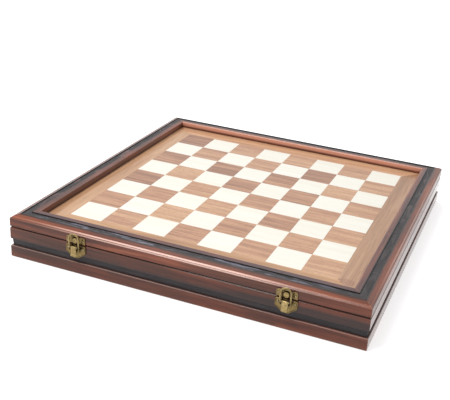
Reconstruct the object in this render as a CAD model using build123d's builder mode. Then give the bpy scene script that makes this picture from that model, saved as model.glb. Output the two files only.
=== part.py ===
from build123d import *
import os
from math import atan, cos, degrees, radians, sin, tan

# Chess box: a shallow square case whose hinged lid carries a recessed
# chessboard, held shut by two draw latches on the front.
#
# Units are millimetres. The origin is the centre of the flat underside, +Z is
# up, the latches face -Y and the hinges are on the +Y side.

# ---------------------------------------------------------------- board
square = 45.0            # side of one chess square
squares_per_side = 8
border_width = 26.0      # veneer border between the squares and the frame
veneer = 0.8             # thickness of the squares and of the border
core_thickness = 5.2     # panel that carries the veneers
tuck = 5.0               # how far the panel runs under the frame
lining_thickness = 1.0   # sheet glued under the panel
glue_line = 0.05         # hairline joint beside each veneer square

# ---------------------------------------------------------------- lid frame
bead_width = 8.4         # inner moulding next to the board
strip_width = 9.1        # ebonised strip in the frame
slope_width = 8.0        # the frame falls away outside the strip
arris_width = 2.5        # bevel along the outer edge
lid_depth = 7.6          # playing surface above the underside of the lid
bead_rise = 9.4          # heights above the playing surface
crest_rise = 9.2
arris_rise = 6.2
edge_rise = 4.3
strip_seat_rise = 5.0
strip_drop = 1.2         # strip below the bead, along its inner edge
strip_lip = 1.3          # strip below the crest, along its outer edge
bead_inner_round = 1.6
bead_outer_round = 0.6
crest_round = 0.5
arris_round = 0.8
edge_round = 0.6

# ---------------------------------------------------------------- box
box_height = 42.0
wall = 16.0
seam_gap = 0.4           # daylight between the lid and the box
rim_chamfer = 1.2        # bevel on both sides of the seam
base_round = 2.0
groove_low = 16.0        # the ebonised groove round the sides, from below
groove_high = 25.6
groove_seat = 5.0        # depth of the housing behind the strip
sink_low = 2.6           # how far the strip lies back, at its two edges
sink_high = 1.7
ledge_round = 0.4
band_round = 0.9
panel_thickness = 6.0    # base panel, let into a rebate in the walls
panel_rebate = 6.0
panel_fit = 0.2          # gap round each loose panel
felt_thickness = 1.2
partition_thickness = 6.0
partition_drop = 3.0     # partition top below the rim
housing_depth = 4.0      # groove in the side walls that holds the partition
housing_fit = 0.05

# ---------------------------------------------------------------- hinges
lid_open_angle = 100.0
stop_margin = 2.0        # the bevelled edges meet this much later
hinge_inset = 84.0       # hinge centres, in from the sides of the box
hinge_length = 40.0
middle_knuckle = 14.0
knuckle_radius = 2.0
knuckle_gap = 0.15
leaf_width = 12.0
leaf_thickness = 1.2
leaf_gap = 0.2           # between the closed leaves
leaf_fit = 0.1           # round the leaves in their mortises
knuckle_fit = 0.3        # round the knuckles in the wood
hinge_pin_radius = 1.1
pin_fit = 0.05           # radial clearance of every turning pin

# ---------------------------------------------------------------- latches
latch_inset = 97.0       # latch centres, in from the sides of the box
plate_thickness = 1.2
plate_half_width = 13.6
plate_top = -1.4         # heights are taken from the middle of the seam
plate_shoulder = -11.5
plate_tip = -19.3
plate_tip_half_width = 3.5
plate_rim_width = 1.1
plate_rim_height = 0.6
lug_gap = 8.4            # between the two lugs that hold the lever
lug_thickness = 1.0
lug_radius = 1.6
lever_pin_out = 5.6      # distance in front of the wood
lever_pin_height = -2.8
lever_pin_radius = 0.8
lever_width = 7.8
lever_cheek = 1.0
lever_skin = 1.2
lever_front = 7.6
lever_lip_out = 8.3
lever_lip_height = -14.2
lever_eye_radius = 1.6
loop_pin_out = 4.9
loop_pin_height = -6.1
loop_pin_radius = 0.7
loop_pin_end = 0.3       # how far the pin stands out of the loop
loop_inner_radius = 5.5
loop_band = 1.9
loop_thickness = 1.5
loop_eye_radius = 1.5
loop_arch_height = 8.8   # centre of the arch
loop_lean = 1.0          # how far the arch stands in front of its pin
loop_bead_width = 0.7
loop_groove_depth = 0.4
strike_half_width = 13.0
strike_low = 0.6
strike_high = 9.8
strike_round = 2.0
strike_dome_radius = 6.2
strike_dome_height = 5.8
strike_boss_radius = 4.9
strike_boss_thickness = 0.9
knob_height = 5.0
knob_radius = 3.7
knob_neck_radius = 1.7
knob_front = 4.6
knob_edge = 0.9
pressed_fit = 0.03       # round pins that are held fast

# ---------------------------------------------------------------- derived
board_half = square * squares_per_side / 2
recess = board_half + border_width
strip_inner = recess + bead_width
strip_outer = strip_inner + strip_width
outer = strip_outer + slope_width + arris_width
inner = outer - wall
lid_under = box_height + seam_gap
playing_surface = lid_under + lid_depth
seam = box_height + seam_gap / 2
panel_edge = recess + tuck - panel_fit
core_low = playing_surface - veneer - core_thickness
hinge_axis_y = outer - (seam_gap / 2 + rim_chamfer) / tan(radians(lid_open_angle + stop_margin) / 2)
reach = 2 * outer
lever_half = lever_width / 2
lug_half = lug_gap / 2
leg_inner = loop_inner_radius
leg_outer = loop_inner_radius + loop_band
arch_above_pin = loop_arch_height - loop_pin_height
lean_angle = degrees(atan(loop_lean / arch_above_pin))
knob_head_back = knob_front - 2 * knob_edge

sides = {"front": 0, "right": 90, "back": 180, "left": 270}
hinge_centres = {"left": hinge_inset - outer, "right": outer - hinge_inset}
latch_centres = {"left": latch_inset - outer, "right": outer - latch_inset}

os.makedirs("parts", exist_ok=True)


def save(piece, name):
    """Label a finished piece and write it to its own file."""
    piece.part.label = name
    export_step(piece.part, f"parts/{name}.step")


def outward(turn):
    """Direction out of the side that lies turn degrees round from the front."""
    return Vector(0, -1, 0).rotate(Axis.Z, turn)


def section(turn):
    """Cross-section plane of a side: x runs outwards, y runs up."""
    out = outward(turn)
    return Plane(origin=(0, 0, 0), x_dir=out, z_dir=out.cross(Vector(0, 0, 1)))


def plan(turn, height=0.0):
    """Plan view of a side at a height: x runs outwards."""
    return Plane(origin=(0, 0, height), x_dir=outward(turn), z_dir=(0, 0, 1))


def mitred_side(turn, profile, radii):
    """A moulding along one side, cut at 45 degrees at both ends."""
    with BuildPart() as side:
        with BuildSketch(section(turn)):
            with BuildLine():
                FilletPolyline(*profile, radius=radii, close=True)
            make_face()
        extrude(amount=reach, both=True)
        with BuildSketch(plan(turn, -reach)):
            Polygon((0, 0), (reach, -reach), (reach, reach), align=None)
        extrude(amount=2 * reach, mode=Mode.INTERSECT)
    return side.part


def latch_face(centre, out=0.0):
    """Plane over the front of a latch: x to the right, y up, z outwards."""
    return Plane(origin=(centre, -outer - out, seam), x_dir=(1, 0, 0), z_dir=(0, -1, 0))


def latch_section(centre):
    """Side view of a latch through its middle: x outwards, y up."""
    return Plane(origin=(centre, -outer, seam), x_dir=(0, -1, 0), z_dir=(-1, 0, 0))


def cross_axis(x, y, z):
    """Plane square to the X axis, for pins and knuckles."""
    return Plane(origin=(x, y, z), x_dir=(0, 1, 0), z_dir=(1, 0, 0))


# ================================================================ box walls
wall_profile = [
    (inner + panel_rebate, 0),
    (outer, 0),
    (outer, groove_low),
    (outer - groove_seat, groove_low),
    (outer - groove_seat, groove_high),
    (outer, groove_high),
    (outer, box_height - rim_chamfer),
    (outer - rim_chamfer, box_height),
    (inner, box_height),
    (inner, panel_thickness),
    (inner + panel_rebate, panel_thickness),
]
wall_radii = [0, base_round, ledge_round, 0, 0, band_round, 0, 0, 0, 0, 0]
leaf_mortise = leaf_thickness - (seam_gap - leaf_gap) / 2
mortise_length = hinge_length + 2 * leaf_fit
mortise_front = hinge_axis_y - leaf_width - leaf_fit
mortise_middle = (mortise_front + outer) / 2

for side, turn in sides.items():
    with BuildPart() as box_wall:
        add(mitred_side(turn, wall_profile, wall_radii))
        if side in ("left", "right"):
            with BuildSketch(plan(turn, panel_thickness)):
                with Locations((inner + housing_depth / 2, 0)):
                    Rectangle(housing_depth, partition_thickness + 2 * housing_fit)
            extrude(amount=box_height, mode=Mode.SUBTRACT)
        if side == "back":
            for centre in hinge_centres.values():
                with BuildSketch(Plane.XY.offset(box_height - leaf_mortise)):
                    with Locations((centre, mortise_middle)):
                        Rectangle(mortise_length, outer - mortise_front)
                extrude(amount=2 * leaf_mortise, mode=Mode.SUBTRACT)
                with BuildSketch(cross_axis(centre, hinge_axis_y, seam)):
                    Circle(knuckle_radius + knuckle_fit)
                extrude(amount=mortise_length / 2, both=True, mode=Mode.SUBTRACT)
    save(box_wall, f"box_wall_{side}")

# ebonised strips let into the grooves of the walls
wall_strip_profile = [
    (outer - groove_seat, groove_low),
    (outer - sink_low, groove_low),
    (outer - sink_high, groove_high),
    (outer - groove_seat, groove_high),
]
for side, turn in sides.items():
    with BuildPart() as box_strip:
        add(mitred_side(turn, wall_strip_profile, 0))
    save(box_strip, f"box_strip_{side}")

# ================================================================ box inside
panel_half = inner + panel_rebate - panel_fit
with BuildPart() as base_panel:
    with BuildSketch(Plane.XY):
        Rectangle(2 * panel_half, 2 * panel_half)
    extrude(amount=panel_thickness)
save(base_panel, "base_panel")

partition_length = 2 * (inner + housing_depth - housing_fit)
with BuildPart() as partition:
    with BuildSketch(Plane.XY.offset(panel_thickness)):
        Rectangle(partition_length, partition_thickness)
    extrude(amount=box_height - partition_drop - panel_thickness)
    top_edges = partition.edges().filter_by(Axis.X).group_by(Axis.Z)[-1]
    fillet(top_edges, partition_thickness / 4)
save(partition, "partition")

felt_depth = inner - panel_fit - partition_thickness / 2 - panel_fit
felt_middle = partition_thickness / 2 + panel_fit + felt_depth / 2
for name, direction in {"front": -1, "back": 1}.items():
    with BuildPart() as floor_felt:
        with BuildSketch(Plane.XY.offset(panel_thickness)):
            with Locations((0, direction * felt_middle)):
                Rectangle(2 * (inner - panel_fit), felt_depth)
        extrude(amount=felt_thickness)
    save(floor_felt, f"floor_felt_{name}")

# ================================================================ lid frame
rail_profile = [
    (recess + tuck, lid_under),
    (outer - rim_chamfer, lid_under),
    (outer, lid_under + rim_chamfer),
    (outer, playing_surface + edge_rise),
    (outer - arris_width, playing_surface + arris_rise),
    (strip_outer, playing_surface + crest_rise),
    (strip_outer, playing_surface + strip_seat_rise),
    (strip_inner, playing_surface + strip_seat_rise),
    (strip_inner, playing_surface + bead_rise),
    (recess, playing_surface + bead_rise),
    (recess, playing_surface),
    (recess + tuck, playing_surface),
]
rail_radii = [
    0, 0, 0, edge_round, arris_round, crest_round, 0, 0,
    bead_outer_round, bead_inner_round, 0, 0,
]

for side, turn in sides.items():
    with BuildPart() as lid_rail:
        add(mitred_side(turn, rail_profile, rail_radii))
        if side == "back":
            for centre in hinge_centres.values():
                with BuildSketch(Plane.XY.offset(lid_under + leaf_mortise)):
                    with Locations((centre, mortise_middle)):
                        Rectangle(mortise_length, outer - mortise_front)
                extrude(amount=-2 * leaf_mortise, mode=Mode.SUBTRACT)
                with BuildSketch(cross_axis(centre, hinge_axis_y, seam)):
                    Circle(knuckle_radius + knuckle_fit)
                extrude(amount=mortise_length / 2, both=True, mode=Mode.SUBTRACT)
    save(lid_rail, f"lid_rail_{side}")

lid_strip_profile = [
    (strip_inner, playing_surface + strip_seat_rise),
    (strip_outer, playing_surface + strip_seat_rise),
    (strip_outer, playing_surface + crest_rise - strip_lip),
    (strip_inner, playing_surface + bead_rise - strip_drop),
]
for side, turn in sides.items():
    with BuildPart() as lid_strip:
        add(mitred_side(turn, lid_strip_profile, 0))
    save(lid_strip, f"lid_strip_{side}")

# ================================================================ chessboard
with BuildPart() as board_core:
    with BuildSketch(Plane.XY.offset(core_low)):
        Rectangle(2 * panel_edge, 2 * panel_edge)
    extrude(amount=core_thickness)
save(board_core, "board_core")

with BuildPart() as lid_lining:
    with BuildSketch(Plane.XY.offset(core_low)):
        Rectangle(2 * panel_edge, 2 * panel_edge)
    extrude(amount=-lining_thickness)
save(lid_lining, "lid_lining")


def square_centres(parity):
    """Centres of the squares of one colour; the front left square is light."""
    first = -board_half + square / 2
    return [
        (first + column * square, first + row * square)
        for column in range(squares_per_side)
        for row in range(squares_per_side)
        if (column + row) % 2 == parity
    ]


for name, parity in {"light_squares": 0, "dark_squares": 1}.items():
    with BuildPart() as squares:
        with BuildSketch(Plane.XY.offset(playing_surface - veneer)):
            with Locations(square_centres(parity)):
                Rectangle(square - glue_line, square - glue_line)
        extrude(amount=veneer)
    save(squares, name)

border_profile = [
    (board_half, playing_surface - veneer),
    (panel_edge, playing_surface - veneer),
    (panel_edge, playing_surface),
    (board_half, playing_surface),
]
for side, turn in sides.items():
    with BuildPart() as board_border:
        add(mitred_side(turn, border_profile, 0))
    save(board_border, f"board_border_{side}")

# ================================================================ hinges
outer_knuckle = (hinge_length - middle_knuckle) / 2 - knuckle_gap
outer_knuckle_middle = (hinge_length - outer_knuckle) / 2
knuckles = {
    "box": [(-outer_knuckle_middle, outer_knuckle), (outer_knuckle_middle, outer_knuckle)],
    "lid": [(0, middle_knuckle)],
}
plate_edge = hinge_axis_y - knuckle_radius - knuckle_fit
leaf_edge = hinge_axis_y - leaf_width


def hinge_leaf(centre, carrier):
    """One leaf with its knuckles; the box leaf lies under the lid leaf."""
    up = 1 if carrier == "lid" else -1
    face = seam + up * leaf_gap / 2
    with BuildPart() as leaf:
        with BuildSketch(Plane.XY.offset(face)):
            with Locations((centre, (leaf_edge + plate_edge) / 2)):
                Rectangle(hinge_length, plate_edge - leaf_edge)
            for middle, length in knuckles[carrier]:
                with Locations((centre + middle, (plate_edge + hinge_axis_y) / 2)):
                    Rectangle(length, hinge_axis_y - plate_edge)
        extrude(amount=up * leaf_thickness)
        for middle, length in knuckles[carrier]:
            with BuildSketch(cross_axis(centre + middle, hinge_axis_y, seam)):
                Circle(knuckle_radius)
            extrude(amount=length / 2, both=True)
        with BuildSketch(cross_axis(centre, hinge_axis_y, seam)):
            Circle(hinge_pin_radius + pin_fit)
        extrude(amount=hinge_length, both=True, mode=Mode.SUBTRACT)
    return leaf


for name, centre in hinge_centres.items():
    for carrier in ("box", "lid"):
        leaf = hinge_leaf(centre, carrier)
        save(leaf, f"hinge_leaf_{carrier}_{name}")
    with BuildPart() as hinge_pin:
        with BuildSketch(cross_axis(centre, hinge_axis_y, seam)):
            Circle(hinge_pin_radius)
        extrude(amount=hinge_length / 2, both=True)
    save(hinge_pin, f"hinge_pin_{name}")

# ================================================================ latches
plate_outline = [
    (-plate_half_width, plate_top),
    (plate_half_width, plate_top),
    (plate_half_width, plate_shoulder),
    (plate_tip_half_width, plate_tip),
    (-plate_tip_half_width, plate_tip),
    (-plate_half_width, plate_shoulder),
]
plate_radii = [1.5, 1.5, 1.5, 3.0, 3.0, 1.5]
lug_root = plate_thickness / 2


def latch_plate(centre):
    """Shield-shaped plate on the box, with a raised rim and two lugs."""
    with BuildPart() as plate:
        with BuildSketch(latch_face(centre)):
            with BuildLine():
                FilletPolyline(*plate_outline, radius=plate_radii, close=True)
            make_face()
        extrude(amount=plate_thickness + plate_rim_height)
        with BuildSketch(latch_face(centre, plate_thickness)):
            with BuildLine():
                FilletPolyline(*plate_outline, radius=plate_radii, close=True)
            make_face()
            offset(amount=-plate_rim_width, mode=Mode.REPLACE)
        extrude(amount=plate_rim_height, mode=Mode.SUBTRACT)
        with BuildSketch(latch_section(centre)) as lug_profile:
            with Locations((lever_pin_out, lever_pin_height)):
                Circle(lug_radius)
            Polygon(
                (lug_root, lever_pin_height + lug_radius),
                (lever_pin_out, lever_pin_height + lug_radius),
                (lever_pin_out, lever_pin_height - lug_radius),
                (lug_root, lever_pin_height - 2 * lug_radius),
                align=None,
            )
        extrude(amount=lug_half + lug_thickness, both=True)
        with BuildSketch(latch_section(centre)):
            with Locations((plate_thickness + reach / 2, 0)):
                Rectangle(reach, 8 * lug_radius - 2 * lever_pin_height)
        extrude(amount=lug_half, both=True, mode=Mode.SUBTRACT)
        with BuildSketch(latch_section(centre)):
            with Locations((lever_pin_out, lever_pin_height)):
                Circle(lever_pin_radius + pressed_fit)
        extrude(amount=reach, both=True, mode=Mode.SUBTRACT)
    return plate


def latch_lever(centre):
    """Curved lever with two cheeks, open at the back like folded sheet."""
    outline = [
        (lever_pin_out - lever_eye_radius, lever_pin_height + lever_eye_radius),
        (lever_front, lever_pin_height + lever_eye_radius),
        (lever_front - lever_skin / 3, lever_lip_height + 2 * lever_skin),
        (lever_lip_out, lever_lip_height),
        (lever_lip_out - lever_skin, lever_lip_height - lever_skin / 3),
        (lever_front - 1.5 * lever_skin, lever_lip_height + 2 * lever_skin),
        (loop_pin_out - lever_eye_radius, loop_pin_height - lever_eye_radius),
    ]
    radii = [1.0, 1.6, 1.5, 0, 0, 1.5, 1.4]
    hollow = [
        (0, plate_shoulder),
        (0, reach),
        (lever_front - lever_skin, reach),
        (lever_front - lever_skin, lever_pin_height - lever_eye_radius),
        (lever_front - lever_skin, loop_pin_height - lever_eye_radius),
        (lever_front - 2 * lever_skin, plate_shoulder),
    ]
    with BuildPart() as lever:
        with BuildSketch(latch_section(centre)):
            with BuildLine():
                FilletPolyline(*outline, radius=radii, close=True)
            make_face()
        extrude(amount=lever_half, both=True)
        with BuildSketch(latch_section(centre)):
            Polygon(*hollow, align=None)
        extrude(amount=lever_half - lever_cheek, both=True, mode=Mode.SUBTRACT)
        with BuildSketch(latch_section(centre)):
            with Locations((lever_pin_out, lever_pin_height)):
                Circle(lever_pin_radius + pin_fit)
            with Locations((loop_pin_out, loop_pin_height)):
                Circle(loop_pin_radius + pressed_fit)
        extrude(amount=reach, both=True, mode=Mode.SUBTRACT)
    return lever


def loop_face(centre, out):
    """Plane of the loop, leaning forward over its pin, out from its middle."""
    lean = radians(lean_angle)
    pin = Vector(centre, -outer - loop_pin_out, seam + loop_pin_height)
    normal = Vector(0, -cos(lean), -sin(lean))
    return Plane(origin=pin + normal * out, x_dir=(1, 0, 0), z_dir=normal)


def arch(radius, foot):
    """Filled arch: a half disc on two straight legs."""
    with Locations((0, arch_above_pin)):
        Circle(radius)
    with Locations((0, (arch_above_pin + foot) / 2)):
        Rectangle(2 * radius, arch_above_pin - foot)


def latch_loop(centre):
    """Arched loop with an eye at each foot and a groove round its front."""
    with BuildPart() as loop:
        with BuildSketch(loop_face(centre, -loop_thickness / 2)):
            arch(leg_outer, 0)
        extrude(amount=loop_thickness)
        with BuildSketch(loop_face(centre, loop_thickness / 2 - loop_groove_depth)):
            arch(leg_outer - loop_bead_width, loop_eye_radius)
        extrude(amount=loop_groove_depth, mode=Mode.SUBTRACT)
        with BuildSketch(loop_face(centre, -loop_thickness / 2)):
            arch(leg_inner + loop_bead_width, loop_eye_radius)
        extrude(amount=loop_thickness)
        with BuildSketch(latch_section(centre)):
            with Locations((loop_pin_out, loop_pin_height)):
                Circle(loop_eye_radius)
        extrude(amount=leg_outer, both=True)
        with BuildSketch(loop_face(centre, -loop_thickness)):
            arch(leg_inner, -loop_eye_radius * 2)
        extrude(amount=2 * loop_thickness, mode=Mode.SUBTRACT)
        with BuildSketch(latch_section(centre)):
            with Locations((loop_pin_out, loop_pin_height)):
                Circle(loop_pin_radius + pin_fit)
        extrude(amount=reach, both=True, mode=Mode.SUBTRACT)
    return loop


def strike_plate(centre):
    """Plate on the lid: two side ears, a domed top and a raised boss."""
    ear_middle = (strike_low + strike_high) / 2
    with BuildPart() as strike:
        with BuildSketch(latch_face(centre)):
            with Locations((0, ear_middle)):
                RectangleRounded(2 * strike_half_width, strike_high - strike_low, strike_round)
            with Locations((0, strike_dome_height)):
                Circle(strike_dome_radius)
            with Locations((0, strike_low - strike_dome_radius)):
                Rectangle(reach, 2 * strike_dome_radius, mode=Mode.SUBTRACT)
        extrude(amount=plate_thickness)
        with BuildSketch(latch_face(centre, plate_thickness)):
            with Locations((0, strike_dome_height)):
                Circle(strike_boss_radius)
        extrude(amount=strike_boss_thickness)
    return strike


def catch_knob(centre):
    """Round headed stud that stands on the boss of the strike plate."""
    boss = plate_thickness + strike_boss_thickness
    profile = [
        (0, -boss),
        (knob_neck_radius, -boss),
        (knob_neck_radius, -knob_head_back),
        (knob_radius, -knob_head_back),
        (knob_radius, knob_edge - knob_front),
        (knob_radius - knob_edge, -knob_front),
        (0, -knob_front),
    ]
    middle = latch_face(centre).from_local_coords((0, knob_height, 0))
    with BuildPart() as knob:
        with BuildSketch(Plane(origin=middle, x_dir=(1, 0, 0), z_dir=(0, 0, 1))):
            Polygon(*profile, align=None)
        revolve(axis=Axis(middle, (0, 1, 0)))
    return knob


for name, centre in latch_centres.items():
    plate = latch_plate(centre)
    save(plate, f"latch_plate_{name}")
    lever = latch_lever(centre)
    save(lever, f"latch_lever_{name}")
    loop = latch_loop(centre)
    save(loop, f"latch_loop_{name}")
    strike = strike_plate(centre)
    save(strike, f"strike_plate_{name}")
    knob = catch_knob(centre)
    save(knob, f"catch_knob_{name}")
    with BuildPart() as lever_pin:
        with BuildSketch(latch_section(centre)):
            with Locations((lever_pin_out, lever_pin_height)):
                Circle(lever_pin_radius)
        extrude(amount=lug_half + lug_thickness, both=True)
    save(lever_pin, f"lever_pin_{name}")
    with BuildPart() as loop_pin:
        with BuildSketch(latch_section(centre)):
            with Locations((loop_pin_out, loop_pin_height)):
                Circle(loop_pin_radius)
        extrude(amount=leg_outer + loop_pin_end, both=True)
    save(loop_pin, f"loop_pin_{name}")
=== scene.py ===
import random
from math import cos, pi, radians, sin

import bmesh
import bpy
from mathutils import Matrix, Vector


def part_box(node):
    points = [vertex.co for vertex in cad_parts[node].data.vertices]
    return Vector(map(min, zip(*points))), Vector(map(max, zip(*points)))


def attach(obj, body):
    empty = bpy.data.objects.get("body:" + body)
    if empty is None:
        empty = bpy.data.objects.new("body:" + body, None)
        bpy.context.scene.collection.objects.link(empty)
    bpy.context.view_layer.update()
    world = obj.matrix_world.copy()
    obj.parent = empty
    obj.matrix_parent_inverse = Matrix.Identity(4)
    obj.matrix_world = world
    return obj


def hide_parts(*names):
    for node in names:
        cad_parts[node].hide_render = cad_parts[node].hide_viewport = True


# Looks of the chess box. Lengths are metres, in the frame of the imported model:
# the origin is the centre of the underside, +Z up, the latches face -Y.

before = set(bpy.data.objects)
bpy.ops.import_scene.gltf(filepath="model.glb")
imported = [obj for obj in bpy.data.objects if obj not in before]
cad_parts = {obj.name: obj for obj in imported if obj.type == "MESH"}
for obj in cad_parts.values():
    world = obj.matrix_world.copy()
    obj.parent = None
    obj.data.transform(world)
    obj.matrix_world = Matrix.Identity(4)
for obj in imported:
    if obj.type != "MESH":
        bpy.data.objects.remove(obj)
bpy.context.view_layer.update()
mm = 0.001
hands = ("left", "right")


def middle(node, axis):
    """Middle of a node's box along an axis, 0 for X and 1 for Y."""
    low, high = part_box(node)
    return (low[axis] + high[axis]) / 2


# ---------------------------------------------------------------- sizes
board_low, board_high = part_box("light_squares")
files = 8                                               # squares along each side of the board
square = (board_high.x - board_low.x) / files
top = board_high.z
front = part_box("box_wall_front")[0].y
half_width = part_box("box_wall_front")[1].x
seam = (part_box("box_wall_front")[1].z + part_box("lid_rail_front")[0].z) / 2
groove_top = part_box("box_strip_front")[1].z
groove_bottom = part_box("box_strip_front")[0].z
strip_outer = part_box("lid_strip_front")[1].x
strip_inner = -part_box("lid_strip_front")[1].y
arris_out = half_width - 2.5 * mm                       # upper edge of the lid's outer bevel
lid_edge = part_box("lid_rail_front")[1].z - 5.1 * mm     # height of its lower edge
latch_centres = {side: middle(f"latch_plate_{side}", 0) for side in hands}
hinge_centres = {side: middle(f"hinge_pin_{side}", 0) for side in hands}
hinge_y = middle("hinge_pin_left", 1)


# ================================================================ materials
class Nodes:
    """Builds the nodes of one tree. All but node and feed give back an output socket."""

    def __init__(self, tree):
        self.tree = tree

    def node(self, kind, inputs=None, **settings):
        made = self.tree.nodes.new(kind)
        for key, value in settings.items():
            setattr(made, key, value)
        for key, value in (inputs or {}).items():
            self.feed(made.inputs[key], value)
        return made

    def feed(self, socket, value):
        if isinstance(value, bpy.types.NodeSocket):
            self.tree.links.new(value, socket)
        else:
            socket.default_value = value

    def place(self):
        """Position in the frame, at rest: it stays with the piece as the piece moves."""
        return self.node("ShaderNodeTexCoord").outputs["Object"]

    def parts(self, vector):
        """X, Y and Z of a vector, by name."""
        return self.node("ShaderNodeSeparateXYZ", {0: vector}).outputs

    def vector(self, operation, a, b=(0, 0, 0), output="Vector"):
        return self.node("ShaderNodeVectorMath", {0: a, 1: b}, operation=operation).outputs[output]

    def stretched(self, vector, scale):
        return self.node("ShaderNodeMapping", {"Vector": vector, "Scale": scale}).outputs[0]

    def noise(self, vector, scale, detail=3.0, roughness=0.55, distortion=0.0):
        inputs = {
            "Vector": vector,
            "Scale": scale,
            "Detail": detail,
            "Roughness": roughness,
            "Distortion": distortion,
        }
        return self.node("ShaderNodeTexNoise", inputs).outputs["Fac"]

    def math(self, operation, a, b=0.0):
        return self.node("ShaderNodeMath", {0: a, 1: b}, operation=operation).outputs[0]

    def times(self, product, *factors):
        """Product of two or more values."""
        for factor in factors:
            product = self.math("MULTIPLY", product, factor)
        return product

    def plus(self, a, b):
        return self.math("ADD", a, b)

    def larger(self, a, b):
        return self.math("MAXIMUM", a, b)

    def over(self, value, level):
        """1 above a level and 0 below it."""
        return self.math("GREATER_THAN", value, level)

    def under(self, value, level):
        """1 below a level and 0 above it."""
        return self.math("LESS_THAN", value, level)

    def close_to(self, value, level, reach, full):
        """A line: 1 while value is less than full away from level, 0 from reach on."""
        away = self.math("ABSOLUTE", self.math("SUBTRACT", value, level))
        return self.remap(away, reach, full)

    def remap(self, value, low, high, to_low=0.0, to_high=1.0):
        inputs = {"Value": value, "From Min": low, "From Max": high, "To Min": to_low, "To Max": to_high}
        return self.node("ShaderNodeMapRange", inputs, interpolation_type="SMOOTHSTEP").outputs["Result"]

    def ramp(self, value, stops):
        made = self.node("ShaderNodeValToRGB", {0: value})
        elements = made.color_ramp.elements
        while len(elements) < len(stops):
            elements.new(0.5)
        for element, (position, colour) in zip(elements, stops):
            element.position = position
            element.color = (*colour, 1)
        return made.outputs["Color"]

    def mix(self, share, a, b):
        """Colour a with a share of colour b over it."""
        made = self.node("ShaderNodeMix", data_type="RGBA")
        for index, value in ((0, share), (6, a), (7, b)):
            self.feed(made.inputs[index], (*value, 1) if isinstance(value, tuple) else value)
        return made.outputs[2]

    def rounded_normal(self, radius):
        return self.node("ShaderNodeBevel", {"Radius": radius}, samples=6).outputs[0]

    def edges(self, radius, flat, sharp):
        """1 along the edges of the shape and 0 on its flats, from how far a rounded normal turns."""
        true_normal = self.node("ShaderNodeNewGeometry").outputs["Normal"]
        turn = self.vector("DOT_PRODUCT", self.rounded_normal(radius), true_normal, "Value")
        return self.remap(turn, flat, sharp)

    def seen(self):
        """1 for the rays that show the background: the camera's, reflected and transmitted ones."""
        ray = self.node("ShaderNodeLightPath").outputs
        reflected = self.larger(ray["Is Camera Ray"], ray["Is Glossy Ray"])
        return self.larger(reflected, ray["Is Transmission Ray"])


class Paint(Nodes):
    """Node graph of one material, round its Principled shader."""

    def __init__(self, name):
        self.material = bpy.data.materials.new(name)
        self.material.use_nodes = True
        super().__init__(self.material.node_tree)
        self.shader = self.tree.nodes["Principled BSDF"]

    def set(self, **values):
        for key, value in values.items():
            self.feed(self.shader.inputs[key.replace("_", " ")], value)

    def bump(self, height, distance, strength=1.0, normal=None):
        inputs = {"Height": height, "Distance": distance, "Strength": strength}
        if normal is not None:
            inputs["Normal"] = normal
        self.set(Normal=self.node("ShaderNodeBump", inputs).outputs["Normal"])


def grain(paint, vector, along, fine=1.0):
    """Wood figure along one axis: broad bands, streaks and pores, each from 0 to 1."""
    across, lengthways = 1.0, 0.045
    figure = [across, across, across]
    figure["XYZ".index(along)] = lengthways
    lines = paint.stretched(vector, figure)
    bands = paint.noise(lines, 110 * fine, 4, 0.6, 0.5)
    streaks = paint.noise(lines, 420 * fine, 3, 0.65)
    pores = paint.noise(lines, 1300 * fine, 2, 0.5)
    return bands, streaks, pores


def side_distance(paint, vector, along):
    """How far a point lies from the middle, measured out of the side that runs along an axis."""
    return paint.math("ABSOLUTE", paint.parts(vector)["Y" if along == "X" else "X"])


def groove_lines(paint, out, inner_width):
    """Thin black lines where the strip of the lid meets the wood on both sides."""
    outer_width = 1.0 * mm
    inner = paint.close_to(out, strip_inner, inner_width, inner_width / 2)
    outer = paint.close_to(out, strip_outer, outer_width, outer_width / 2)
    return paint.larger(inner, outer)


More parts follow.
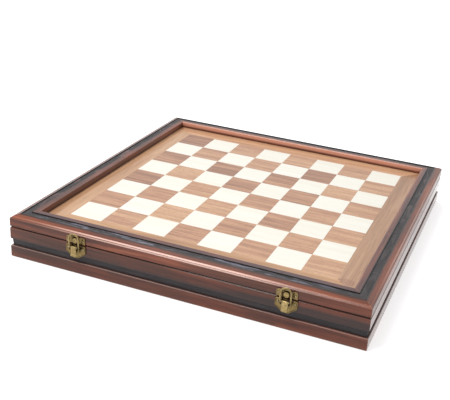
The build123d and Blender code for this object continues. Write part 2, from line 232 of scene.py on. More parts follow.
def frame_wood(name, along, seed, look, coat, arris_highlight, bead_highlight):
    """Red-brown mahogany under lacquer, darker beside the ebonised bands, with painted highlights along its
    arrises and on its bead, and painted shade at the bead's foot and in the seam.
    """
    paint = Paint(name)
    place = paint.place()
    at = paint.parts(place)
    height = at["Z"]
    out = side_distance(paint, place, along)
    above_edge = paint.over(height, lid_edge + 0.8 * mm)
    above_board = paint.over(height, top + 1 * mm)
    shifted = paint.vector("ADD", place, (seed, 2 * seed, 3 * seed))
    bands, streaks, pores = grain(paint, shifted, along)
    patches = paint.noise(shifted, 9, 2)
    colour = paint.ramp(bands, [
        (0.28, (0.050, 0.011, 0.006)), (0.45, (0.135, 0.030, 0.013)),
        (0.58, (0.220, 0.055, 0.024)), (0.75, (0.360, 0.105, 0.050)),
    ])
    colour = paint.mix(paint.remap(streaks, 0.54, 0.70, 0, 0.75), colour, (0.020, 0.008, 0.006))
    colour = paint.mix(paint.remap(pores, 0.58, 0.72, 0, 0.35), colour, (0.016, 0.007, 0.005))
    colour = paint.mix(paint.remap(patches, 0.38, 0.62, 0, 0.55), colour, (0.050, 0.018, 0.010))

    # ebonised stain that creeps up from the groove of the wall, higher towards +X
    wander = paint.times(paint.noise(shifted, 60, 3), 4 * mm)
    above = paint.plus(height, wander)
    if along == "X":
        above = paint.math("SUBTRACT", above, paint.remap(at["X"], -0.05, 0.20, 0, 8 * mm))
    soot = paint.remap(above, groove_top + 9 * mm, groove_top + 1.5 * mm, 0, look["soot"])
    soot = paint.times(soot, paint.over(height, groove_bottom + 1 * mm))
    soot = paint.times(soot, paint.over(out, half_width - 6 * mm), paint.under(height, seam))

    # the same stain on the crest of the lid, over the strip and a little outside it
    spread = paint.math("SUBTRACT", out, paint.times(wander, 0.7))
    reach = 3.0 * mm if along == "X" else 1.6 * mm
    outward = paint.remap(spread, strip_outer + reach, strip_outer - 1.2 * mm)
    inward = paint.remap(out, strip_inner - 0.8 * mm, strip_inner)
    crest_soot = paint.times(outward, inward, paint.over(height, top))
    soot = paint.larger(soot, paint.times(crest_soot, look["crest"]))
    colour = paint.mix(soot, colour, (0.016, 0.013, 0.013))
    line = paint.times(groove_lines(paint, out, look["groove"] * mm), above_board, 0.85)
    colour = paint.mix(line, colour, (0.004, 0.002, 0.002))

    # stain and painted shade on the bead, most on the front, and painted shade at the foot of its inner
    # face
    on_bead = paint.times(paint.remap(out, strip_inner + 0.2 * mm, strip_inner - 0.8 * mm), above_board)
    stain_and_shade = paint.times(on_bead, paint.remap(patches, 0.35, 0.55, 0.6, 1.0), look["bead_stain_and_shade"])
    colour = paint.mix(stain_and_shade, colour, (0.050, 0.020, 0.028))
    # painted shade: the inner face of the bead darkens towards the recess, most on the left side
    foot = paint.times(on_bead, paint.remap(height, top + 5.5 * mm, top + 1.2 * mm))
    foot = paint.times(foot, paint.under(out, strip_inner - 7.5 * mm), look["foot"])
    colour = paint.mix(foot, colour, (0.030, 0.010, 0.006))

    # painted shade in the seam, darkening the chamfers on both sides; their roughness is raised there too
    seam_shade = paint.close_to(height, seam, 1.5 * mm, 0.9 * mm)
    colour = paint.mix(paint.times(seam_shade, 0.80), colour, (0.022, 0.007, 0.004))

    # the slope outside the strip, where the red shows through
    slope = paint.times(paint.remap(out, strip_outer + 1.5 * mm, strip_outer + 5 * mm), above_edge)
    slope = paint.times(slope, paint.remap(bands, 0.35, 0.65, 0.3, 1.0), look["slope"])
    colour = paint.mix(slope, colour, (0.38, 0.090, 0.030))

    # painted highlight on the inside of the bead, strongest on the back side
    bead = paint.remap(out, strip_inner - 5.5 * mm, strip_inner - 7.5 * mm)
    bead = paint.times(bead, paint.remap(height, top + 1.5 * mm, top + 6 * mm), bead_highlight)
    colour = paint.mix(bead, colour, (0.72, 0.34, 0.24))

    # painted highlight along both edges of the lid's outer bevel, palest near the middle of the side
    upper = paint.times(paint.close_to(out, arris_out, 1.3 * mm, 0.5 * mm), above_edge)
    lower = paint.close_to(height, lid_edge, 0.9 * mm, 0.3 * mm)
    lower = paint.times(lower, paint.over(out, half_width - 1.1 * mm), 0.7)
    line = paint.times(paint.larger(upper, lower), paint.remap(streaks, 0.30, 0.55, 0.80, 1.0))
    far = paint.remap(paint.math("ABSOLUTE", paint.plus(at[along], 0.02)), 0.06, 0.24)
    line = paint.times(line, paint.remap(far, 0, 1, 1.0, 0.40), arris_highlight)
    colour = paint.mix(line, colour, paint.mix(far, (0.96, 0.60, 0.50), (0.48, 0.13, 0.045)))

    # painted highlight along the arris under the groove of the wall
    sill_highlight = paint.close_to(height, groove_bottom, 0.8 * mm, 0.3 * mm)
    sill_highlight = paint.times(sill_highlight, paint.over(out, half_width - 1.5 * mm), 0.5)
    colour = paint.mix(sill_highlight, colour, (0.48, 0.36, 0.33))

    # all other edges, thinly
    edge = paint.times(paint.edges(0.9 * mm, 0.995, 0.92), paint.remap(streaks, 0.35, 0.62, 0.2, 0.7))
    edge = paint.times(edge, paint.remap(paint.larger(soot, seam_shade), 0.0, 0.5, 1.0, 0.0))
    colour = paint.mix(edge, colour, (0.46, 0.20, 0.12))

    gloss = paint.remap(streaks, 0.3, 0.7, 0.34, 0.46)
    paint.set(Base_Color=colour, Roughness=paint.larger(gloss, paint.times(seam_shade, 0.95)))
    paint.set(IOR=1.5, Specular_IOR_Level=0.28, Coat_Weight=coat, Coat_Roughness=0.12, Coat_IOR=1.5)
    relief = paint.plus(paint.times(bands, 0.6), paint.times(pores, 0.4))
    paint.bump(relief, 0.12 * mm, 0.7, paint.rounded_normal(0.5 * mm))
    return paint.material


def ebony(name, along, seed, look):
    """Ebonised wood: brown-black, with uneven gloss and painted wavy reflections on the lid's strip."""
    paint = Paint(name)
    here = paint.place()
    shifted = paint.vector("ADD", here, (seed, seed, 2 * seed))
    bands, _, pores = grain(paint, shifted, along)
    colour = paint.ramp(bands, [
        (0.3, (0.016, 0.014, 0.015)), (0.55, (0.034, 0.028, 0.030)), (0.8, (0.070, 0.052, 0.052)),
    ])
    colour = paint.mix(paint.remap(pores, 0.55, 0.75, 0, 0.6), colour, (0.008, 0.007, 0.007))
    lengthened = (0.22, 1, 1) if along == "X" else (1, 0.22, 1)
    waves = paint.noise(paint.stretched(shifted, lengthened), 140, 3, 0.6, 0.8)
    on_lid = paint.over(paint.parts(here)["Z"], seam)
    # painted reflection: wavy sheen over the strip of the lid only, coloured per side
    painted_sheen = paint.times(paint.remap(waves, 0.48, 0.66, 0, look["painted_sheen"]), on_lid)
    colour = paint.mix(painted_sheen, colour, look["painted_sheen_colour"])
    line = groove_lines(paint, side_distance(paint, here, along), look["groove"] * mm)
    colour = paint.mix(paint.times(line, 0.8), colour, (0.003, 0.002, 0.002))
    paint.set(Base_Color=colour, Roughness=paint.remap(waves, 0.42, 0.66, 0.50, 0.24))
    paint.set(IOR=1.45, Specular_IOR_Level=0.32)
    paint.bump(paint.plus(waves, paint.times(pores, 0.2)), 1.0 * mm, 0.8)
    return paint.material


def veneer(name, along, stops, streak_colour, streak_share, fine=1.0, toned=False, knot=None):
    """Lacquered veneer. With toned, the whole leaf takes its tone and figure from its own square."""
    paint = Paint(name)
    place = paint.place()
    if toned:
        leaf = paint.node("ShaderNodeAttribute", attribute_name="leaf").outputs["Fac"]
        sideways = paint.times(leaf, 3.7)
        jump = paint.node("ShaderNodeCombineXYZ", {0: leaf, 1: sideways, 2: leaf}).outputs[0]
        place = paint.vector("ADD", place, jump)
    bands, streaks, pores = grain(paint, place, along, fine)
    value = bands
    if toned:
        tone = paint.node("ShaderNodeAttribute", attribute_name="tone").outputs["Fac"]
        value = paint.plus(bands, tone)
    colour = paint.ramp(value, stops)
    colour = paint.mix(paint.remap(streaks, 0.52, 0.74, 0, streak_share), colour, streak_colour)
    colour = paint.mix(paint.remap(pores, 0.55, 0.72, 0, streak_share * 0.7), colour, streak_colour)
    if toned:
        fleck = paint.noise(paint.stretched(place, (0.4, 1, 1)), 520, 3, 0.7)
        colour = paint.mix(paint.remap(fleck, 0.50, 0.72, 0, streak_share * 0.8), colour, streak_colour)
    if knot:
        ring_width = 4.5 * mm
        offset = paint.vector("SUBTRACT", place, (*knot, top))
        oval = paint.vector("LENGTH", paint.stretched(offset, (1, 1.5, 0)), output="Value")
        away = paint.plus(oval, paint.times(paint.noise(place, 110, 3), 9 * mm))
        rings = paint.math("SINE", paint.times(away, 2 * pi / ring_width))
        swirl = paint.times(paint.remap(rings, -0.2, 1.0, 0.35, 1.0), paint.remap(away, 19 * mm, 13 * mm))
        colour = paint.mix(paint.times(swirl, 0.75), colour, (0.27, 0.105, 0.055))
    paint.set(Base_Color=colour, Roughness=paint.remap(streaks, 0.3, 0.7, 0.30, 0.42))
    paint.set(IOR=1.5, Specular_IOR_Level=0.3, Coat_Weight=0.35, Coat_Roughness=0.16)
    paint.bump(paint.plus(bands, pores), 0.05 * mm, 0.5)
    return paint.material


def plain_wood(name):
    """Plain wood of the base, the partition and the panel under the board."""
    paint = Paint(name)
    bands, streaks, pores = grain(paint, paint.place(), "X", 0.6)
    colour = paint.ramp(bands, [
        (0.3, (0.30, 0.16, 0.07)), (0.55, (0.42, 0.25, 0.12)), (0.8, (0.52, 0.33, 0.17)),
    ])
    colour = paint.mix(paint.remap(streaks, 0.55, 0.8, 0, 0.5), colour, (0.20, 0.10, 0.05))
    paint.set(Base_Color=colour, Roughness=paint.remap(pores, 0.3, 0.7, 0.5, 0.68), IOR=1.45)
    paint.bump(paint.plus(streaks, pores), 0.15 * mm, 0.6)
    return paint.material


def felt(name):
    """Green baize with a short mottled pile."""
    paint = Paint(name)
    place = paint.place()
    pile = paint.noise(place, 2600, 3, 0.7)
    mottle = paint.noise(place, 120, 4, 0.6)
    mixed = paint.plus(paint.times(pile, 0.6), paint.times(mottle, 0.4))
    colour = paint.ramp(mixed, [
        (0.3, (0.012, 0.055, 0.026)), (0.5, (0.030, 0.110, 0.055)), (0.7, (0.070, 0.180, 0.100)),
    ])
    paint.set(Base_Color=colour, Roughness=0.95)
    paint.set(Sheen_Weight=0.4, Sheen_Roughness=0.5, Sheen_Tint=(0.6, 0.9, 0.7, 1))
    paint.bump(pile, 0.4 * mm, 0.8)
    return paint.material


def antique_brass(name, shine=0.0):
    """Stamped brass with dark patina in its hollows, rubbed high spots, and rubbed edges brightened as
    painted highlight.
    """
    paint = Paint(name)
    place = paint.place()
    blotch = paint.noise(place, 260, 4, 0.6)
    fine = paint.noise(place, 1500, 3, 0.6)
    open_air = paint.node("ShaderNodeAmbientOcclusion", {"Distance": 3.0 * mm}, samples=8).outputs["AO"]
    rubbed = paint.plus(paint.remap(open_air, 0.40, 1.0, 0.0, 0.60), paint.times(blotch, 0.45))
    colour = paint.ramp(paint.plus(rubbed, shine), [
        (0.36, (0.012, 0.008, 0.004)), (0.62, (0.070, 0.048, 0.020)),
        (0.85, (0.22, 0.155, 0.064)), (1.0, (0.42, 0.31, 0.140)),
    ])
    # rubbed edges along the rims, brightened further as painted highlight
    edge = paint.times(paint.edges(0.45 * mm, 0.99, 0.90), paint.remap(open_air, 0.45, 0.85, 0.0, 0.95))
    colour = paint.mix(edge, colour, (0.86, 0.74, 0.50))
    tarnish = paint.plus(blotch, paint.times(fine, 0.4))
    paint.set(Base_Color=colour, Metallic=1.0, Roughness=paint.remap(tarnish, 0.45, 0.95, 0.24, 0.48))
    paint.bump(paint.plus(blotch, paint.times(fine, 0.5)), 0.08 * mm, 0.5)
    return paint.material


# colour stops of the veneers, dark to light: (place on the ramp, colour)
walnut_stops = [
    (0.20, (0.22, 0.092, 0.052)), (0.48, (0.50, 0.250, 0.140)),
    (0.72, (0.66, 0.385, 0.215)), (1.0, (0.76, 0.500, 0.290)),
]
maple_stops = [(0.25, (0.86, 0.82, 0.70)), (0.55, (0.91, 0.88, 0.79)), (0.8, (0.93, 0.91, 0.84))]
# the sides differ in brightness as painted light: the right darker as painted shade, the back lighter
# against the rail's shadow
border_stops = {
    "front": [(0.22, (0.34, 0.160, 0.070)), (0.48, (0.56, 0.300, 0.140)), (0.78, (0.70, 0.430, 0.230))],
    "right": [(0.22, (0.26, 0.130, 0.068)), (0.48, (0.43, 0.235, 0.130)), (0.78, (0.57, 0.345, 0.205))],
    "back": [(0.22, (0.42, 0.210, 0.110)), (0.48, (0.66, 0.370, 0.210)), (0.78, (0.80, 0.520, 0.310))],
    "left": [(0.22, (0.34, 0.165, 0.080)), (0.48, (0.56, 0.310, 0.165)), (0.78, (0.70, 0.450, 0.265))],
}
border_knot = (0.190, -0.182)       # in the right side's border

# How each side of the frame is finished. Shares from 0 to 1: the lacquer on the rail and on the wall,
# the painted highlight along the bevel's edges and on the bead, stain and painted shade on the bead, stain
# on the wall and the crest, painted shade at the foot of the bead, red on the slope, and the painted
# reflection on the strip with its colour. groove is the width of its inner line in mm.
runs = {"front": "X", "right": "Y", "back": "X", "left": "Y"}
looks = {
    "front": {
        "coat": 0.30, "wall_coat": 0.30, "arris_highlight": 0.95, "bead_highlight": 0.0, "bead_stain_and_shade": 0.75, "soot": 0.80,
        "crest": 0.96, "foot": 0.5, "slope": 0.45, "painted_sheen": 0.90, "painted_sheen_colour": (0.190, 0.185, 0.245),
        "groove": 1.0,
    },
    "right": {
        "coat": 0.45, "wall_coat": 0.90, "arris_highlight": 0.30, "bead_highlight": 0.15, "bead_stain_and_shade": 0.40, "soot": 0.25,
        "crest": 0.96, "foot": 0.6, "slope": 0.25, "painted_sheen": 0.40, "painted_sheen_colour": (0.090, 0.060, 0.060),
        "groove": 1.8,
    },
    "back": {
        "coat": 0.45, "wall_coat": 0.45, "arris_highlight": 0.35, "bead_highlight": 0.95, "bead_stain_and_shade": 0.0, "soot": 0.80,
        "crest": 0.60, "foot": 0.2, "slope": 0.20, "painted_sheen": 0.50, "painted_sheen_colour": (0.110, 0.070, 0.075),
        "groove": 0.8,
    },
    "left": {
        "coat": 0.25, "wall_coat": 0.25, "arris_highlight": 0.45, "bead_highlight": 0.10, "bead_stain_and_shade": 0.10, "soot": 0.80,
        "crest": 0.96, "foot": 0.9, "slope": 0.20, "painted_sheen": 0.85, "painted_sheen_colour": (0.150, 0.070, 0.062),
        "groove": 1.6,
    },
}
brass = antique_brass("antique_brass")
bright_brass = antique_brass("rubbed_brass", 0.10)
panel_wood = plain_wood("panel_plywood")
baize = felt("green_baize")


def finish_node(node, material):
    """Gives a CAD node its material."""
    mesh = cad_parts[node].data
    mesh.materials.clear()
    mesh.materials.append(material)


for index, (side, along) in enumerate(runs.items()):
    seed = 0.37 * (index + 1)
    look = looks[side]
    highlight_shares = (look["arris_highlight"], look["bead_highlight"])
    wall_wood = frame_wood(f"mahogany_wall_{side}", along, seed, look, look["wall_coat"], 0.0, 0.0)
    rail_wood = frame_wood(f"mahogany_rail_{side}", along, seed + 1.9, look, look["coat"], *highlight_shares)
    black = ebony(f"ebony_{side}", along, seed, look)
    finish_node(f"box_wall_{side}", wall_wood)
    finish_node(f"lid_rail_{side}", rail_wood)
    finish_node(f"box_strip_{side}", black)
    finish_node(f"lid_strip_{side}", black)
    knot = border_knot if side == "right" else None
    border = veneer(f"border_{side}", along, border_stops[side], (0.20, 0.085, 0.035), 0.45, knot=knot)
    finish_node(f"board_border_{side}", border)
for node in ("base_panel", "partition", "board_core"):
    finish_node(node, panel_wood)
for node in ("floor_felt_front", "floor_felt_back", "lid_lining"):
    finish_node(node, baize)
for side in hands:
    for node in ("hinge_leaf_box", "hinge_leaf_lid", "hinge_pin", "lever_pin", "loop_pin"):
        finish_node(f"{node}_{side}", brass)


# ================================================================ meshes
def piece(name, mesh, material, body, replaced=()):
    """Puts a new mesh into the scene, on the body that carries it."""
    thing = bpy.data.objects.new(name, mesh)
    bpy.context.scene.collection.objects.link(thing)
    if not mesh.materials:
        mesh.materials.append(material)
    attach(thing, body)
    if replaced:
        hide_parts(*replaced)
    return thing


def to_mesh(bm, name, smooth=True):
    """Ends a mesh in the making, with its faces turned outwards."""
    bmesh.ops.recalc_face_normals(bm, faces=bm.faces)
    mesh = bpy.data.meshes.new(name)
    bm.to_mesh(mesh)
    bm.free()
    for polygon in mesh.polygons:
        polygon.use_smooth = smooth
    return mesh


def rounded(thing, width, segments):
    """Rounds the sharp edges of a piece and keeps its flats flat."""
    bevel = thing.modifiers.new("edges", "BEVEL")
    bevel.width = width
    bevel.segments = segments
    bevel.limit_method = "ANGLE"
    bevel.angle_limit = radians(50)
    bevel.harden_normals = True


def fillet_outline(corners, radii, steps):
    """Closed outline through the corners, each rounded by its own radius."""
    points = []
    count = len(corners)
    for i, radius in enumerate(radii):
        here = Vector(corners[i])
        before = (Vector(corners[i - 1]) - here).normalized()
        after = (Vector(corners[(i + 1) % count]) - here).normalized()
        half_turn = before.angle(after) / 2
        reach = radius / sin(half_turn) * cos(half_turn)
        start, end = here + before * reach, here + after * reach
        centre = here + (before + after).normalized() * (radius / sin(half_turn))
        first, last = start - centre, end - centre
        span = first.angle(last)
        for step in range(steps + 1):
            share = step / steps
            turn = (first * sin((1 - share) * span) + last * sin(share * span)) / sin(span)
            points.append(centre + turn)
    return points


def prism(bm, outline, low, high, place):
    """Solid between two heights over an outline; place turns (x, y, height) into the frame."""
    rings = [[bm.verts.new(place @ Vector((p[0], p[1], z))) for p in outline] for z in (low, high)]
    bm.faces.new(rings[0])
    bm.faces.new(rings[1])
    for i in range(len(outline)):
        j = (i + 1) % len(outline)
        bm.faces.new((rings[0][i], rings[0][j], rings[1][j], rings[1][i]))


def turned(bm, profile, place, steps=48):
    """Surface of revolution round the local height axis; profile is (radius, height)."""
    rings = []
    for radius, height in profile:
        if radius < 1e-7:
            rings.append([bm.verts.new(place @ Vector((0, 0, height)))])
            continue
        ring = []
        for k in range(steps):
            turn = 2 * pi * k / steps
            ring.append(bm.verts.new(place @ Vector((radius * cos(turn), radius * sin(turn), height))))
        rings.append(ring)
    for lower, upper in zip(rings, rings[1:]):
        for k in range(steps):
            m = (k + 1) % steps
            corners = [lower[k % len(lower)], lower[m % len(lower)]]
            corners += [upper[m % len(upper)], upper[k % len(upper)]]
            unique = list(dict.fromkeys(corners))      # a pole of the surface leaves a triangle
            if len(unique) > 2:
                bm.faces.new(unique)


def latch_frame(centre):
    """Turns (x, height over the seam, distance out of the front) in mm into the frame."""
    return Matrix(((mm, 0, 0, centre), (0, 0, -mm, front), (0, mm, 0, seam), (0, 0, 0, 1)))


def side_frame(centre):
    """Turns (distance out of the front, height over the seam, x) in mm into the frame."""
    return Matrix(((0, 0, mm, centre), (-mm, 0, 0, front), (0, mm, 0, seam), (0, 0, 0, 1)))


# ================================================================ chessboard
deep_leaves = {(5, 6), (2, 5), (0, 3), (0, 7)}                  # (column, row) of the darkest squares
warm_leaves = {(0, 5), (3, 4), (4, 5), (5, 4), (5, 2)}          # and of the next darker ones
around = ((-1, -1), (1, -1), (1, 1), (-1, 1))                   # corners of a square, in turn
figures = 5                                                     # spread of the figure between leaves
choice = random.Random(7)


def board_squares(name, parity, material, tones, node):
    """One thin leaf of veneer for each square of a colour, with its own tone and figure."""
    bm = bmesh.new()
    leaf_layer = bm.faces.layers.float.new("leaf")
    tone_layer = bm.faces.layers.float.new("tone")
    thickness = board_high.z - board_low.z
    edge = 0.04 * mm
    for column in range(files):
        for row in range(files):
            if (column + row) % 2 != parity:
                continue
            x, y = board_low.x + (column + 0.5) * square, board_low.y + (row + 0.5) * square
            half = square / 2 - edge
            levels = [(half, top - thickness), (half, top - edge), (half - edge, top)]
            rings = []
            for reach, z in levels:
                rings.append([bm.verts.new((x + a * reach, y + b * reach, z)) for a, b in around])
            faces = [bm.faces.new(rings[0]), bm.faces.new(rings[-1])]
            for lower, upper in zip(rings, rings[1:]):
                for k in range(4):
                    m = (k + 1) % 4
                    faces.append(bm.faces.new((lower[k], lower[m], upper[m], upper[k])))
            leaf, tone = choice.random() * figures, choice.uniform(*tones["usual"])
            if (column, row) in deep_leaves:
                tone = tones["deep"]
            elif (column, row) in warm_leaves:
                tone = tones["warm"]
            for face in faces:
                face[leaf_layer] = leaf
                face[tone_layer] = tone
    piece(name, to_mesh(bm, name, smooth=False), material, "lid", [node])


walnut = veneer("walnut_leaf", "X", walnut_stops, (0.20, 0.090, 0.045), 0.50, 1.5, toned=True)
maple = veneer("maple_leaf", "X", maple_stops, (0.80, 0.72, 0.56), 0.18, 0.9, toned=True)
walnut_tones = {"usual": (-0.02, 0.20), "deep": -0.14, "warm": -0.07}
maple_tones = {"usual": (-0.04, 0.08), "deep": 0, "warm": 0}
board_squares("walnut_squares", 1, walnut, walnut_tones, "dark_squares")
board_squares("maple_squares", 0, maple, maple_tones, "light_squares")

# ================================================================ latches
# All lengths here are mm: x from the latch's middle, height over the seam, distance out of the front.
plate_outline = [(-13.6, -1.4), (13.6, -1.4), (13.6, -11.5), (3.5, -19.3), (-3.5, -19.3), (-13.6, -11.5)]
plate_radii = [1.5, 1.5, 1.5, 3.0, 3.0, 1.5]
sheet = 1.2                         # thickness of the plate and of the strike
lever_pin = (5.6, -2.8)             # distance out, height
lug_radius = 1.6
lever_half_width = 3.9
loop_pin = (4.9, -6.1)              # distance out, height
loop_inner, loop_outer = 5.5, 7.4   # radii of the loop's half circle
arch_centre = 8.8                   # height of that half circle's centre
knob_height = 5.0
boss_height = 5.8
screw_x = 10.3
plate_screws, strike_screws = -6, 5     # heights


def inset(outline, amount):
    """Outline moved inwards by an amount, along the normals of its points."""
    count = len(outline)
    moved = []
    for i, point in enumerate(outline):
        along = (outline[(i + 1) % count] - outline[i - 1]).normalized()
        moved.append(point + Vector((along.y, -along.x)) * amount)
    return moved


def plate_piece(side, centre):
    """Shield-shaped plate: rounded rim, sunk field, two lugs."""
    bm = bmesh.new()
    place = latch_frame(centre)
    outline = fillet_outline(plate_outline, plate_radii, 8)
    steps = [       # distance in from the outline, distance out of the front
        (0.0, 0.0), (0.0, sheet), (0.12, 1.55), (0.4, 1.75), (0.75, 1.72), (1.0, 1.45), (1.15, 1.22),
        (1.5, sheet),
    ]
    rings = [[bm.verts.new(place @ Vector((*p, z))) for p in inset(outline, d)] for d, z in steps]
    for lower, upper in zip(rings, rings[1:]):
        for i in range(len(outline)):
            j = (i + 1) % len(outline)
            bm.faces.new((lower[i], lower[j], upper[j], upper[i]))
    bm.faces.new(rings[0])
    bm.faces.new(rings[-1])
    mesh = to_mesh(bm, f"shield_plate_{side}")
    piece(f"shield_plate_{side}", mesh, brass, "box", [f"latch_plate_{side}"])

    bm = bmesh.new()
    turn = side_frame(centre)
    reach = [lever_pin[0] + lug_radius * cos(radians(a)) for a in range(90, -91, -15)]
    height = [lever_pin[1] + lug_radius * sin(radians(a)) for a in range(90, -91, -15)]
    lug = [(0.6, lever_pin[1] + lug_radius), *zip(reach, height), (0.6, lever_pin[1] - 3.2)]
    for low, high in ((-5.2, -4.2), (4.2, 5.2)):
        prism(bm, lug, low, high, turn)
    mesh = to_mesh(bm, f"lever_lugs_{side}", False)
    lugs = piece(f"lever_lugs_{side}", mesh, brass, "box")
    rounded(lugs, 0.2 * mm, 2)


def lever_piece(side, centre):
    """Curved lever pressed from sheet: crowned front, cheeks and a turned-out lip."""
    front_line = [      # distance out, height, crown in the middle
        (4.75, -1.42, 0.0), (5.6, -1.2, 0.0), (6.55, -1.42, 0.02), (7.25, -2.1, 0.05), (7.55, -3.2, 0.1),
        (7.6, -5.0, 0.15), (7.55, -7.5, 0.2), (7.4, -9.6, 0.2), (7.22, -11.4, 0.15), (7.32, -12.7, 0.08),
        (7.75, -13.7, 0.0), (8.22, -14.2, 0.0),
    ]
    across = [-1.0, -0.99, -0.93, -0.78, -0.5, 0.0, 0.5, 0.78, 0.93, 0.99, 1.0]
    fall = [2.2, 1.1, 0.42, 0.12, 0.02, 0.0, 0.02, 0.12, 0.42, 1.1, 2.2]       # back, at each of those
    lip_foot, fade = -14.6, 6.0     # the sides fall away less and less down to the lip
    bm = bmesh.new()
    turn = side_frame(centre)
    rows = []
    for out, height, crown in front_line:
        cheek = min(1.0, max(0.25, (height - lip_foot) / fade))
        row = []
        for x, drop in zip(across, fall):
            sunk = out - drop * cheek + crown * (1 - x * x)
            row.append(bm.verts.new(turn @ Vector((sunk, height, lever_half_width * x))))
        rows.append(row)
    for lower, upper in zip(rows, rows[1:]):
        for k in range(len(across) - 1):
            bm.faces.new((lower[k], lower[k + 1], upper[k + 1], upper[k]))
    mesh = to_mesh(bm, f"lever_{side}")
    lever = piece(f"lever_{side}", mesh, bright_brass, f"lever_{side}", [f"latch_lever_{side}"])
    solid = lever.modifiers.new("sheet", "SOLIDIFY")
    solid.thickness = 0.8 * mm
    solid.offset = -1 if mesh.polygons[len(mesh.polygons) // 2].normal.y < 0 else 1     # to the inside
    smooth = lever.modifiers.new("smooth", "SUBSURF")
    smooth.levels = smooth.render_levels = 2

    bm = bmesh.new()
    cheek_corners = [(3.5, -1.2), (6.9, -1.5), (6.9, -9.0), (3.5, -8.3)]
    cheek_line = fillet_outline(cheek_corners, [1.5, 0.5, 0.8, 1.4], 5)
    for low, high in ((-3.85, -2.95), (2.95, 3.85)):
        prism(bm, cheek_line, low, high, turn)
    mesh = to_mesh(bm, f"lever_cheeks_{side}", False)
    cheeks = piece(f"lever_cheeks_{side}", mesh, brass, f"lever_{side}")
    rounded(cheeks, 0.15 * mm, 2)


def loop_piece(side, centre):
    """Arched loop: a grooved band round the catch, with an eye at each foot."""
    lean = 1.0 / (arch_centre - loop_pin[1])
    normal = Vector((0, -1, -lean)).normalized()
    up = Vector((0, -lean, 1)).normalized()
    pin = Vector((centre, front - loop_pin[0] * mm, seam + loop_pin[1] * mm))
    rise = (arch_centre - loop_pin[1]) / up.z
    path = [(-1, 0.0, share * rise) for share in (0.0, 0.25, 0.5, 0.75)]
    path += [(cos(radians(a)), sin(radians(a)), rise) for a in range(180, -1, -10)]
    path += [(1, 0.0, share * rise) for share in (0.75, 0.5, 0.25, 0.0)]
    mean, half = (loop_inner + loop_outer) / 2, (loop_outer - loop_inner) / 2
    section = [     # across the band from -1 to 1, distance out of its middle
        (-1.0, -0.45), (-1.0, 0.35), (-0.92, 0.60), (-0.70, 0.74), (-0.42, 0.62), (-0.2, 0.44),
        (0.2, 0.44), (0.42, 0.62), (0.70, 0.74), (0.92, 0.60), (1.0, 0.35), (1.0, -0.45),
        (0.85, -0.72), (-0.85, -0.72),
    ]
    bm = bmesh.new()
    rings = []
    for across, lift, height in path:
        ring = []
        for radial, out in section:
            radius = mean + radial * half
            spot = pin + Vector((across * radius * mm, 0, 0))
            spot = spot + up * ((height + lift * radius) * mm) + normal * (out * mm)
            ring.append(bm.verts.new(spot))
        rings.append(ring)
    for lower, upper in zip(rings, rings[1:]):
        for k in range(len(section)):
            m = (k + 1) % len(section)
            bm.faces.new((lower[k], lower[m], upper[m], upper[k]))
    bm.faces.new(rings[0])
    bm.faces.new(rings[-1])
    mesh = to_mesh(bm, f"loop_{side}")
    loop = piece(f"loop_{side}", mesh, bright_brass, f"loop_{side}", [f"latch_loop_{side}"])
    smooth = loop.modifiers.new("smooth", "SUBSURF")
    smooth.levels = smooth.render_levels = 1

    bm = bmesh.new()
    place = Matrix(((0, 0, mm, centre), (mm, 0, 0, pin.y), (0, mm, 0, pin.z), (0, 0, 0, 1)))
    bore, eye_radius, chamfer = 0.76, 1.5, 0.15
    for sign in (-1, 1):
        low, high = sorted((sign * loop_inner, sign * loop_outer))
        wall = [
            (bore, low), (eye_radius - chamfer, low), (eye_radius, low + chamfer),
            (eye_radius, high - chamfer), (eye_radius - chamfer, high), (bore, high),
        ]
        turned(bm, wall, place, 32)
    piece(f"loop_eyes_{side}", to_mesh(bm, f"loop_eyes_{side}"), brass, f"loop_{side}")


def strike_piece(side, centre):
    """Plate on the lid: two ears, a domed top, a raised ring and the catch knob."""
    place = latch_frame(centre)
    dome = 6.2
    arch = [(dome * cos(radians(a)), boss_height + dome * sin(radians(a))) for a in range(28, 153, 8)]
    right = [(13.0, 0.6), (13.0, 7.8), (12.4, 9.2), (11.0, 9.8), (7.6, 9.8), (6.2, 9.3)]
    left = [(-x, height) for x, height in reversed(right)]
    bm = bmesh.new()
    prism(bm, right + arch + left, 0.0, sheet, place)
    mesh = to_mesh(bm, f"strike_{side}", False)
    plate = piece(f"strike_{side}", mesh, brass, "lid", [f"strike_plate_{side}"])
    rounded(plate, 0.35 * mm, 3)

    bm = bmesh.new()
    boss = place @ Matrix.Translation((0, boss_height, 0))
    profile = [
        (0, 1.5), (2.9, 1.5), (3.6, 1.65), (4.0, 2.0), (4.4, 2.1), (4.75, 1.9), (4.9, 1.5), (4.9, 1.0),
    ]
    turned(bm, profile, boss)
    piece(f"strike_boss_{side}", to_mesh(bm, f"strike_boss_{side}"), brass, "lid")

    bm = bmesh.new()
    knob = place @ Matrix.Translation((0, knob_height, 0))
    profile = [
        (0, 1.3), (1.7, 1.3), (1.7, 2.7), (3.3, 2.75), (3.65, 2.95), (3.7, 3.3), (3.55, 3.65), (3.1, 3.95),
        (2.5, 4.15), (2.2, 4.1), (1.9, 4.2), (1.2, 4.5), (0.6, 4.59), (0, 4.6),
    ]
    turned(bm, profile, knob)
    mesh = to_mesh(bm, f"knob_{side}")
    piece(f"knob_{side}", mesh, bright_brass, "lid", [f"catch_knob_{side}"])


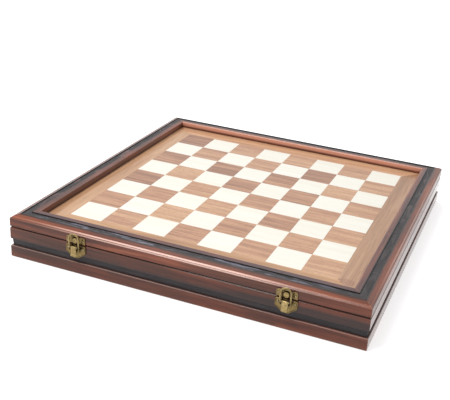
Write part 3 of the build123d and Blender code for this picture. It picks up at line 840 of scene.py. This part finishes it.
def screw_heads(name, body, spots, size, place):
    """Slotted screw heads at (x, y, height, turn): two half domes on a disc. Size is radius, dome, slot."""
    radius, dome, slot_width = size
    rise = []
    for a in range(0, 90, 15):
        rise.append((radius * cos(radians(a)), dome * (0.35 + 0.65 * sin(radians(a)))))
    rise.append((0, dome))
    floor_disc = [(0, 0), (radius * 0.97, 0), (radius * 0.97, dome * 0.4), (0, dome * 0.4)]
    bm = bmesh.new()
    for x, y, z, turn in spots:
        local = place @ Matrix.Translation((x, y, z)) @ Matrix.Rotation(turn, 4, "Z")
        for sign in (-1, 1):
            half = bmesh.new()
            turned(half, [(0, 0), (radius, 0), *rise], Matrix.Identity(4), 40)
            geometry = half.verts[:] + half.edges[:] + half.faces[:]
            edge = (sign * slot_width / 2, 0, 0)
            cut = bmesh.ops.bisect_plane(
                half, geom=geometry, plane_co=edge, plane_no=(sign, 0, 0), clear_inner=True
            )
            rim_edges = [e for e in cut["geom_cut"] if isinstance(e, bmesh.types.BMEdge)]
            bmesh.ops.contextual_create(half, geom=rim_edges)
            bmesh.ops.transform(half, matrix=local, verts=half.verts)
            mesh = bpy.data.meshes.new("half")
            half.to_mesh(mesh)
            half.free()
            bm.from_mesh(mesh)
            bpy.data.meshes.remove(mesh)
        turned(bm, floor_disc, local, 40)
    piece(name, to_mesh(bm, name, False), brass, body)


latch_screw = (1.6, 0.85, 0.35)
screw_seat = 1.0                    # distance out of the front
for side, centre in latch_centres.items():
    plate_piece(side, centre)
    lever_piece(side, centre)
    loop_piece(side, centre)
    strike_piece(side, centre)
    face = latch_frame(centre)
    spots = [(-screw_x, plate_screws, screw_seat, 0.5), (screw_x, plate_screws, screw_seat, 1.9)]
    screw_heads(f"plate_screws_{side}", "box", spots, latch_screw, face)
    spots = [(-screw_x, strike_screws, screw_seat, 2.4), (screw_x, strike_screws, screw_seat, 0.9)]
    screw_heads(f"strike_screws_{side}", "lid", spots, latch_screw, face)

# ================================================================ hinges
hinge_screw = (2.3, 0.12, 0.5)
leaf_gap = 0.1                      # mm from the seam to each leaf's face
sunk = 0.05                         # mm from that face down to the foot of the head
row = hinge_y / mm - 7              # mm, the screws' row, 7 in from the pin
hinge_screw_x = 12
for side, centre in hinge_centres.items():
    for body, sign in (("box", 1), ("lid", -1)):
        place = Matrix(((mm, 0, 0, centre), (0, mm * sign, 0, 0), (0, 0, mm * sign, seam), (0, 0, 0, 1)))
        spots = [(x, row * sign, -leaf_gap - sunk, 0.6 + x) for x in (-hinge_screw_x, hinge_screw_x)]
        screw_heads(f"hinge_screws_{body}_{side}", body, spots, hinge_screw, place)

# ================================================================ stage
floor_mesh = bpy.data.meshes.new("floor")
floor_size = 6.0
floor_height = -0.2 * mm            # clear of the underside
floor_corners = [(floor_size * x, floor_size * y, floor_height) for x, y in around]
floor_mesh.from_pydata(floor_corners, [], [(0, 1, 2, 3)])
floor = bpy.data.objects.new("floor", floor_mesh)
bpy.context.scene.collection.objects.link(floor)
white = Paint("white_floor")
white.set(Base_Color=(0.86, 0.86, 0.87, 1), Roughness=0.9)
reach = white.vector("LENGTH", white.place(), output="Value")
glow = white.times(white.seen(), white.remap(reach, 0.45, 1.2, 0.56, 0.85))     # less by the object
white.set(Emission_Color=(1, 1, 1, 1), Emission_Strength=glow)
floor_mesh.materials.append(white.material)

world = bpy.data.worlds.new("studio")
bpy.context.scene.world = world
world.use_nodes = True
sky = Nodes(world.node_tree)
background = sky.tree.nodes["Background"]
sky.feed(background.inputs["Color"], (1, 1, 1, 1))
sky.feed(background.inputs["Strength"], sky.remap(sky.seen(), 0, 1, 0.55, 1.0))


def softbox(name, spot, target, size, power):
    """Square area lamp aimed at a point."""
    lamp = bpy.data.lights.new(name, "AREA")
    lamp.shape = "SQUARE"
    lamp.size = size
    lamp.energy = power
    thing = bpy.data.objects.new(name, lamp)
    thing.location = spot
    thing.rotation_euler = (Vector(target) - Vector(spot)).to_track_quat("-Z", "Y").to_euler()
    bpy.context.scene.collection.objects.link(thing)


softbox("key", (-0.45, -0.75, 1.5), (0, 0, 0), 0.7, 13)
softbox("fill", (-0.5, 0.9, 1.5), (0, 0, 0), 1.3, 8)

# ================================================================ camera
# fitted to the corners of the squares and the outer edges in the photo, at 450 x 400 pixels
camera_spot = (0.35798, -0.99304, 0.50951)
azimuth, elevation, roll = radians(19.442), radians(22.864), radians(4.288)
back = Vector((sin(azimuth) * cos(elevation), -cos(azimuth) * cos(elevation), sin(elevation)))
level_right = Vector((cos(azimuth), sin(azimuth), 0))
level_up = back.cross(level_right)
right = level_right * cos(roll) + level_up * sin(roll)
up = back.cross(right)
camera = bpy.data.cameras.new("camera")
camera.sensor_width = 36
camera.lens = 64.82
camera.shift_x = -0.0686
camera.shift_y = -0.0344
camera.clip_start = 0.01
viewer = bpy.data.objects.new("camera", camera)
viewer.matrix_world = Matrix((
    (right.x, up.x, back.x, camera_spot[0]),
    (right.y, up.y, back.y, camera_spot[1]),
    (right.z, up.z, back.z, camera_spot[2]),
    (0, 0, 0, 1),
))
bpy.context.scene.collection.objects.link(viewer)
bpy.context.scene.camera = viewer
bpy.context.scene.view_settings.view_transform = "Standard"
